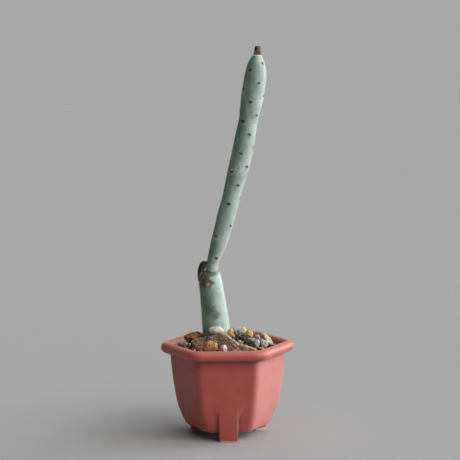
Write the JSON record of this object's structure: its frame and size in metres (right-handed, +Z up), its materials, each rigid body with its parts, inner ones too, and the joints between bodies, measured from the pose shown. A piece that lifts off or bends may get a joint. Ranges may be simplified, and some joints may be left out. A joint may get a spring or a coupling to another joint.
{
  "type": "potted euphorbia alluaudii",
  "caption": "Leafless grey-green succulent stem with small leaf scars, grown from a cut older stem, in a footed hexagonal red clay pot with stone top dressing.",
  "frame": {"origin": "On the pot's axis at the ground, between the bottoms of its three feet.", "axes": "+Z up along the pot's axis. -Y towards the viewer of the picture, out of the face with the front foot. +X to the viewer's right."},
  "size_m": [0.09, 0.0812, 0.2614],
  "materials": {
    "red_clay": "satin",
    "drain_net_plastic": "matte",
    "potting_mix": null,
    "waxy_old_stem": null,
    "waxy_young_stem": null,
    "dried_stem": "matte",
    "bark": "matte",
    "brown_lava": "matte",
    "tan_rock": "matte",
    "white_stone": "matte",
    "bluish_stone": "matte",
    "cream_stone": "matte",
    "yellow_stone": "matte",
    "orange_stone": "matte",
    "tan_stone": "matte",
    "pale_tan_stone": "matte",
    "brown_stone": "matte",
    "grey_stone": "matte",
    "dark_stone": "matte",
    "olive_stone": "matte"
  },
  "bodies": {
    "root": {"pot": "red_clay", "drain_net": "drain_net_plastic", "potting_mix": "potting_mix", "old_stem": "waxy_old_stem", "old_stem_dried_end": "dried_stem", "young_stem": "waxy_young_stem", "young_stem_dried_tip": "dried_stem", "brown_slab": "brown_lava", "tan_rock": "tan_rock", "twig": "bark", "white_pebble_at_stem": "white_stone", "yellow_stone": "yellow_stone", "orange_pebble": "orange_stone", "grey_chip_at_rim": "grey_stone", "white_pebble_at_rim": "white_stone", "tan_stone_left": "tan_stone", "dark_stone_left": "dark_stone", "pale_stone_left": "grey_stone", "olive_stone": "olive_stone", "cream_stone": "cream_stone", "amber_stone": "yellow_stone", "small_olive_stone": "olive_stone", "small_white_stone": "white_stone", "long_grey_stone": "grey_stone", "bluish_stone": "bluish_stone", "whitish_stone": "cream_stone", "leaning_tan_slab": "pale_tan_stone", "bark_chip_1": "bark", "bark_chip_2": "bark", "bark_chip_3": "bark", "bark_chip_4": "bark", "stone_01": "pale_tan_stone", "stone_02": "dark_stone", "stone_03": "cream_stone", "stone_04": "dark_stone", "stone_05": "tan_stone", "stone_06": "tan_stone", "stone_07": "orange_stone", "stone_08": "cream_stone", "stone_09": "brown_stone", "stone_10": "orange_stone", "stone_11": "cream_stone", "stone_12": "cream_stone", "stone_13": "brown_stone", "stone_14": "pale_tan_stone", "stone_15": "brown_stone", "stone_16": "pale_tan_stone", "stone_17": "brown_stone", "stone_18": "pale_tan_stone", "stone_19": "brown_stone", "stone_20": "brown_stone", "stone_21": "pale_tan_stone", "stone_22": "dark_stone", "stone_23": "cream_stone", "stone_24": "tan_stone", "stone_25": "dark_stone", "stone_26": "tan_stone"}
  },
  "joints": []
}
